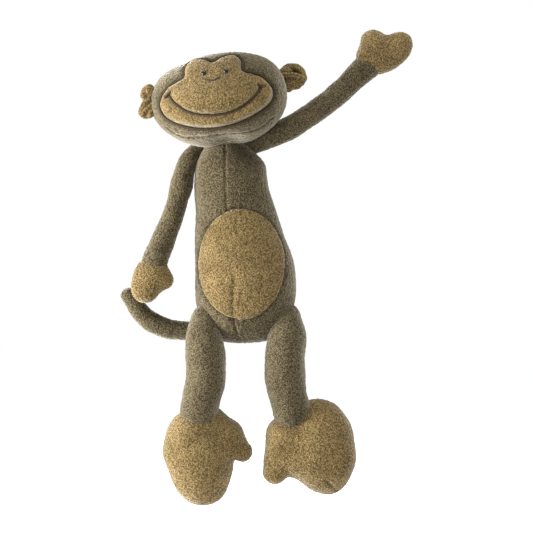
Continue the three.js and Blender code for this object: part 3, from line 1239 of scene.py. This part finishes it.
@dataclass
class Ear:
    """A small cupped ear, folded where it is sewn to the head."""

    side: str
    rolls: tuple[tuple[Point, ...], ...]  # the padded edges and folds
    roll_radii: tuple[float, ...]
    pads: tuple[Oval, ...]  # the soft lobes between them
    voxel: float = 0.75
    rounding: int = 4

    def build(self) -> None:
        """Builds the ear."""
        shapes = [
            Sleeve(knots, (radius,) * len(knots), 0.8).mesh()
            for knots, radius in zip(self.rolls, self.roll_radii)
        ]
        for pad in self.pads:
            ball = bmesh.new()
            bmesh.ops.create_icosphere(ball, subdivisions=5, radius=1.0)
            bmesh.ops.scale(ball, vec=pad.axes, verts=ball.verts)
            bmesh.ops.translate(ball, vec=pad.centre, verts=ball.verts)
            shapes.append(ball)
        bm = fused(f"{self.side}_ear", shapes, self.voxel, self.rounding)
        pile = Pile(seed=6.0, lump=0.3, lump_size=7.0, curl=0.35, grain=2.2)
        made = finish_mesh(f"{self.side}_ear_fleece", bm, TAN, (pile,))
        settle(made, f"{self.side}_ear", (f"ear_{self.side}",))


# ---- limbs -----------------------------------------------------------------------------------


@dataclass
class Arm:
    """A long thin arm with a mitten hand."""

    side: str
    shoulder: Point
    elbow: Point
    wrist: Point
    line: tuple[Point, ...]  # the sleeve's own line, from the armhole to the cuff
    radii: tuple[float, ...]
    hand: "Hand"
    creases: tuple[Groove, ...]
    seed: float
    wad_span: tuple[float, float]  # the shares of the line that the shoulder's wad fills
    elbow_share: float = 0.6  # the share of the line where the elbow is
    elbow_free: float = 0.13  # the share each side of it that holds no stuffing
    wad_inset: float = 5.5
    blend_reach: float = 16.0

    def build(self) -> None:
        """Builds the arm's pieces."""
        side = self.side
        sleeve = Sleeve(self.line, self.radii)
        pile = Pile(seed=self.seed, lump=0.9, lump_size=16.0)
        fore = unit(self.elbow, self.wrist)
        cover = finish_mesh(
            f"{side}_arm_sleeve", sleeve.mesh(), BROWN, (*self.creases, pile)
        )
        settle(cover, None, (f"{side}_upper_arm", f"{side}_forearm"))
        blend(cover)
        free = self.elbow_free
        spans = {
            "upper_arm": (0.2, self.elbow_share - free),
            "forearm": (self.elbow_share + free, 0.97),
        }
        stuff(sleeve, f"{side}_shoulder", f"{side}_shoulder_wad", *self.wad_span, self.wad_inset)
        for part, (start, end) in spans.items():
            stuff(sleeve, f"{side}_{part}", f"{side}_{part}_stuffing", start, end)
        self.hand.build(self.wrist, fore)


@dataclass
class Hand:
    """A mitten: a flat oval palm with the stub of a thumb.

    Its places are measured along the forearm from the wrist, and across to the thumb's side.
    """

    side: str
    palm: tuple[float, float]
    palm_axes: Point
    thumb: tuple[float, float, float, float]
    thumb_radii: tuple[float, float]
    cuff_radius: float
    softness: float
    seed: float

    def build(self, wrist: Point, along: np.ndarray) -> None:
        """Builds the hand and its stuffing.

        Args:
            wrist: where the cuff is.
            along: the direction from the elbow to the wrist.
        """
        across = np.array((-along[2], 0, along[0]))
        across /= np.linalg.norm(across)
        turn = np.stack((along, np.cross(across, along), across), 1)
        origin = np.array(wrist)

        def spot(x: float, z: float) -> Point:
            """A place given along the forearm and across it."""
            return tuple(origin + along * x + across * z)

        x0, z0, x1, z1 = self.thumb
        palm = Oval(spot(*self.palm), self.palm_axes, turn, 2.2)
        thumb = Taper(spot(x0, z0), spot(x1, z1), *self.thumb_radii, 0.95)
        cuff = Taper(spot(3, 0), spot(10, -1), self.cuff_radius, self.cuff_radius, 0.92)
        solid = Merge((palm, cuff, thumb), self.softness)
        angles = np.linspace(0, 2 * math.pi, 40)[:, None]
        ring = origin + along * 0.5
        ring = ring + (across * np.cos(angles) + turn[:, 1] * np.sin(angles)) * self.cuff_radius
        creases = (
            Groove(ring, 1.0, 1.8, 0.3, 7.0),
            Pile(seed=self.seed, lump=0.6, lump_size=14.0),
        )
        centre = spot(16, 1)
        cover = drawn_over(
            f"{self.side}_mitten", solid, centre, (20, 14, 22), 6, TAN, creases
        )
        settle(cover, f"{self.side}_hand", (f"{self.side}_hand",))
        inner = Merge(
            (
                Oval(palm.centre, tuple(a - STUFFING_INSET for a in self.palm_axes), turn),
                Taper(spot(x0, z0), spot(x1, z1), 4.5, 4.5),
            ),
            4.0,
        )
        fill = drawn_over(
            f"{self.side}_mitten_fill", inner, centre, (16, 9, 16), 4, FIBREFILL,
            (LUMPY,),
        )
        settle(fill, f"{self.side}_hand", (f"{self.side}_hand_stuffing",))


@dataclass
class Leg:
    """A thick short leg with a big mitten of a foot."""

    side: str
    hip: Point
    knee: Point
    ankle: Point
    line: tuple[Point, ...]  # the sleeve's own line, from inside the body to the foot
    radii: tuple[float, ...]
    foot: Merge
    foot_middle: Point
    core: Oval
    toe_seam: tuple[tuple[float, float], ...]  # across and up, on the front of the foot
    seed: float
    blend_reach: float = 20.0

    def build(self) -> None:
        """Builds the leg's pieces."""
        side = self.side
        sleeve = Sleeve(self.line, self.radii, 1.35)
        pile = Pile(seed=self.seed, lump=1.3, lump_size=24.0)
        cover = finish_mesh(f"{side}_leg_sleeve", sleeve.mesh(), BROWN, (pile,))
        settle(cover, None, (f"{side}_thigh", f"{side}_shin"))
        blend(cover)
        stuff(sleeve, f"{side}_hip", f"{side}_hip_wad", 0.1, 0.16)
        stuff(sleeve, f"{side}_thigh", f"{side}_thigh_stuffing", 0.38, 0.4)
        stuff(sleeve, f"{side}_shin", f"{side}_shin_stuffing", 0.8, 0.96)
        self.build_foot()

    def build_foot(self) -> None:
        """Builds the foot and its stuffing."""
        side = self.side
        flat = through([(x, self.foot_middle[1], z) for x, z in self.toe_seam], 20)
        seam = Groove(cast_forward(self.foot, flat, 60.0), 1.7, 1.6, 0.3)
        creases = (seam, Pile(seed=self.seed + 2, lump=1.1, lump_size=20.0))
        cover = drawn_over(
            f"{side}_foot_fleece", self.foot, self.foot_middle, (40, 28, 48), 7, TAN,
            creases,
        )
        settle(cover, f"{side}_foot", (f"{side}_foot",))
        inset = tuple(a - STUFFING_INSET for a in self.core.axes)
        fill = drawn_over(
            f"{side}_foot_fill", Oval(self.core.centre, inset, self.core.turn),
            self.core.centre, (32, 22, 44), 5, FIBREFILL, (LUMPY,),
        )
        settle(fill, f"{side}_foot", (f"{side}_foot_stuffing",))


@dataclass
class Tail:
    """The thin tail, in two sleeves that meet in the middle of its middle bend."""

    bends: tuple[Point, ...] = ((-54, 42, 10.5), (-91, 40, 19))

    def build(self) -> None:
        """Builds the tail's pieces."""
        near = ((10, 33, 20), (2, 41, 17), (-25, 42.5, 12.5), (-54, 42, 10.8), (-73, 41, 12))
        base = Sleeve(near, (8.4, 8.7, 9, 9.4, 10))
        end = ((-73, 41, 12), (-88, 40.5, 17.8), (-99, 40, 26), (-107, 39, 37), (-113.5, 38, 46))
        far = Sleeve(end, (10, 10.3, 9.9, 9, 8))
        pile = Pile(seed=9.0, lump=0.7, lump_size=14.0)
        made = finish_mesh("tail_base_sleeve", base.mesh(), BROWN, (pile,))
        settle(made, None, ("tail_base", "tail_middle"))
        blend(made)
        made = finish_mesh("tail_tip_sleeve", far.mesh(), BROWN, (pile,))
        settle(made, None, ("tail_tip",))
        blend(made)
        stuff(base, "tail_root", "tail_wad", 0.1, 0.12)
        stuff(base, "tail_base", "tail_base_stuffing", 0.25, 0.62)
        stuff(far, "tail_middle", "tail_middle_stuffing", 0.02, 0.15)
        stuff(far, "tail_tip", "tail_tip_stuffing", 0.6, 0.95)


def unit(start: Point, end: Point) -> np.ndarray:
    """The unit direction from one place to another."""
    way = np.array(end, float) - np.array(start, float)
    return way / np.linalg.norm(way)


def blend(
    piece: bpy.types.Object
) -> None:
    """Bakes a sleeve's placement into its mesh, which rides on no body.

    Args:
        piece: the sleeve.
    """
    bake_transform(piece)


def stuff(
    sleeve: Sleeve,
    body: str,
    node: str,
    start: float,
    end: float,
    inset: float = STUFFING_INSET,
) -> None:
    """Fills one length of a sleeve.

    Args:
        sleeve: the sleeve.
        body: the body that the stuffing rides on, which also names it.
        node: the model's node that it stands for.
        start: the share of the sleeve's line where it starts.
        end: the share where it ends.
        inset: how far inside the cloth it stays.
    """
    made = finish_mesh(
        f"{body}_fill", sleeve.filling(start, end, inset).mesh(), FIBREFILL,
        (Pile(curl=0.4, grain=4.0, lump=0.5, seed=8.0),),
    )
    settle(made, body, (node,))


def build_neck() -> None:
    """Builds the short gathered neck between the body and the head."""
    neck = Sleeve(((-18, -3, 186), (-18, -3, 193), (-18, -3, 200)), (10.5, 10.5, 10.5))
    pile = Pile(seed=7.0, lump=0.5)
    made = finish_mesh("neck_sleeve", neck.mesh(), BROWN, (pile,))
    settle(made, "neck", ("neck_stub",))


# ---- studio ----------------------------------------------------------------------------------


@dataclass
class Studio:
    """The pale room, its lights and the camera."""

    aim: Point = (25.5, 0, 75.5)
    distance: float = 3500.0
    frame_height: float = 533.0
    floor_height: float = -215.0
    floor_size: float = 9000.0
    surround: float = 0.6  # how strongly the white room lights the toy
    lights: tuple[tuple[str, Point, float, float], ...] = (  # name, place, size, power
        ("key", (-1500, -360, 100), 700, 115),
        ("rim", (-500, 1500, 1300), 900, 30),
        ("top", (250, -450, 1500), 900, 34),
    )

    def build(self) -> None:
        """Builds the floor, the lights, the surroundings and the camera."""
        self.build_floor()
        self.build_world()
        for name, place, size, power in self.lights:
            self.light(name, place, size, power)
        self.build_camera()
        settings = bpy.context.scene.view_settings
        settings.view_transform = "Standard"
        settings.look = "None"
        settings.exposure = 0.0

    def build_floor(self) -> None:
        """Lays a wide white floor well under the toy."""
        bm = bmesh.new()
        bmesh.ops.create_grid(bm, x_segments=2, y_segments=2, size=self.floor_size)
        for vertex in bm.verts:
            vertex.co.z = self.floor_height
        finish_mesh("studio_floor", bm, FLOOR)

    def build_world(self) -> None:
        """Sets a white surround that lights the toy only softly."""
        world = bpy.data.worlds.new("surround")
        bpy.context.scene.world = world
        world.use_nodes = True
        tree = world.node_tree
        soft = tree.nodes["Background"]
        white = tree.nodes.new("ShaderNodeBackground")
        for node, strength in ((soft, self.surround), (white, 1.0)):
            node.inputs["Color"].default_value = (1.0, 1.0, 1.0, 1.0)
            node.inputs["Strength"].default_value = strength
        path = tree.nodes.new("ShaderNodeLightPath")
        mix = tree.nodes.new("ShaderNodeMixShader")
        tree.links.new(path.outputs["Is Camera Ray"], mix.inputs["Fac"])
        tree.links.new(soft.outputs[0], mix.inputs[1])
        tree.links.new(white.outputs[0], mix.inputs[2])
        tree.links.new(mix.outputs[0], tree.nodes["World Output"].inputs["Surface"])

    def light(self, name: str, place: Point, size: float, power: float) -> None:
        """Hangs a soft square light that faces the toy.

        Args:
            name: its name.
            place: where it hangs.
            size: how wide it is.
            power: its power in watts.
        """
        data = bpy.data.lights.new(name, "AREA")
        data.size = size * MM
        data.energy = power
        made = placed(name, data)
        made.location = Vector(place) * MM
        way = (Vector(self.aim) - Vector(place)).to_track_quat("-Z", "Y")
        made.rotation_mode = "QUATERNION"
        made.rotation_quaternion = way

    def build_camera(self) -> None:
        """Stands the camera straight in front of the toy."""
        data = bpy.data.cameras.new("camera")
        data.sensor_width = 36.0
        data.lens = data.sensor_width * self.distance / self.frame_height
        data.clip_end = 100.0
        made = placed("camera", data)
        made.location = Vector((self.aim[0], -self.distance, self.aim[2])) * MM
        made.rotation_euler = (math.pi / 2, 0, 0)
        bpy.context.scene.camera = made


def build_arms() -> None:
    """Builds the hanging arm and the raised one."""
    Arm(
        "left", (-54.5, 0, 184), (-72.5, -3, 124), (-86, -8, 78),
        ((-41, 4, 192.5), (-47.5, 3, 188), (-54.5, 1, 176), (-59.5, -1, 156), (-63.5, -2.5, 140),
         (-69.6, -3.5, 122), (-76, -5, 105), (-83, -7.3, 88), (-86.3, -8, 78.5)),
        (7.5, 8.8, 10.2, 11.1, 10.3, 11, 11.7, 12.6, 12.6),
        Hand("left", (20.5, -2.2), (20.3, 11.8, 15.3), (8, 4, 12.3, 14), (8.6, 8.8), 12.9, 9.0,
             11.0),
        (
            Groove(through(((-55, -14, 140), (-53, -6, 141), (-52, 4, 142)), 12), 0.6, 3.0),
            Groove(through(((-66, -13, 150), (-58, -13, 146), (-53, -9, 146)), 12), 0.7, 2.4),
        ),
        10.0,
        (0.1, 0.12),
    ).build()
    Arm(
        "right", (21.5, 9, 186), (87, 16, 243), (127.5, 14, 278.5),
        ((2, 4, 192), (11, 7, 198.5), (24, 9.5, 204), (46, 12, 213), (68, 14.5, 227), (89, 16, 242),
         (108, 15, 259), (120, 14.3, 270.5), (127.5, 14, 277.5)),
        (10.5, 11, 11.4, 11.6, 11.4, 11.6, 11.6, 12.6, 13.4),
        Hand("right", (27, -6.5), (23, 12, 15), (10, 8, 18.5, 14.3), (11.4, 12.2), 13.8, 11.0,
             21.0),
        (
            Groove(through(((78, 2, 243), (84, 4, 250), (82, 14, 254)), 12), 1.4, 3.2),
            Groove(through(((40, 2, 200), (36, -2, 206), (38, 2, 214)), 12), 1.0, 3.0),
        ),
        20.0,
        (0.1, 0.13),
    ).build()


def build_legs() -> None:
    """Builds both legs, with the feet turned out differently."""
    body = Oval((-40.5, -13, -114.5), (33, 27, 48.5), turned("Y", -5), 2.05)
    Leg(
        "left", (-35.5, -24, 8), (-34.5, -25, -31), (-41, -22, -66),
        ((-33.5, -7, 22.5), (-36, -15, 5), (-34.8, -22, -14), (-34.6, -24, -34), (-38, -23, -52),
         (-41.6, -21, -67)),
        (16.5, 18.4, 19.8, 20.2, 19.2, 19),
        Merge(
            (
                Merge((body, Oval((-46, -14, -103), (30.5, 25, 34))), 10.0),
                Taper((-31, -10, -84), (-14, -12, -95), 20, 16.5, 1.1),
                Taper((-14, -12, -95), (1.5, -14, -109), 16.5, 10, 1.1),
            ),
            6.0,
        ),
        (-36, -13, -104),
        body,
        ((-27, -134), (-28, -144), (-30, -155)),
        30.0,
    ).build()
    body = Oval((80.5, -13, -103.5), (33.5, 27, 48), turned("Y", -10), 2.1)
    Leg(
        "right", (44.5, -24, 8), (43.5, -25, -31), (50, -22, -66),
        ((43, -7, 22.5), (45.2, -15, 6), (44.2, -22, -14), (44, -24, -34), (47, -23, -52),
         (50.4, -21, -67)),
        (17.5, 19.6, 19.8, 20.6, 19, 19),
        Merge(
            (
                body,
                Taper((46.5, -12, -95), (33.7, -16, -129.3), 22.5, 12.4, 1.1),
                Oval((58, -13, -115), (18, 22, 20)),
            ),
            9.0,
        ),
        (66, -13, -104),
        body,
        ((83.5, -136.5), (89, -141), (95, -147)),
        40.0,
    ).build()


def build_ears() -> None:
    """Builds the two ears."""
    Ear(
        "left",
        (
            ((-86, -8, 249), (-91, -9, 254), (-96, -9, 251), (-97, -10, 245.5)),
            ((-86, -8, 240), (-92, -11, 241), (-97, -12, 237)),
            ((-97, -12, 237), (-100, -12, 229), (-95, -11, 225), (-87, -8, 229)),
            ((-88, -12, 237), (-93, -14, 232), (-98, -14, 228)),
            ((-86, -11, 236), (-89, -14, 230), (-91, -13, 225)),
            ((-93, -6, 243), (-97, -6, 241)),
        ),
        (3.6, 2.6, 2.8, 2.4, 2.4, 2.2),
        (Oval((-91, -9, 250), (6.5, 5, 6.5)), Oval((-92.5, -10, 231), (8, 4.5, 8))),
    ).build()
    Ear(
        "right",
        (
            ((41, 1, 270), (47, 0, 274.5), (54, -1, 275), (60, -2, 271), (62.6, -2, 264)),
            ((62.6, -2, 264), (62.5, -3, 261)),
            ((41, -6, 266), (49, -10, 267), (57, -10, 266.2), (63, -7, 262)),
            ((44, -3, 256), (47, -5, 252), (54, -5, 255.5), (61, -5, 258.5)),
        ),
        (3.8, 2.6, 2.2, 2.8),
        (
            Oval((52, 2.5, 266), (11, 3, 9)),
            Oval((52, -4, 259.5), (10.5, 5, 8)),
            Oval((46, -1, 270), (6, 5, 5)),
        ),
    ).build()


def main() -> None:
    """Builds the monkey and its studio."""
    logging.basicConfig(level=logging.INFO, format="%(message)s")
    Studio().build()
    Torso().build()
    build_neck()
    Head().build()
    build_ears()
    build_arms()
    build_legs()
    Tail().build()


if __name__ == "__main__":
    main()
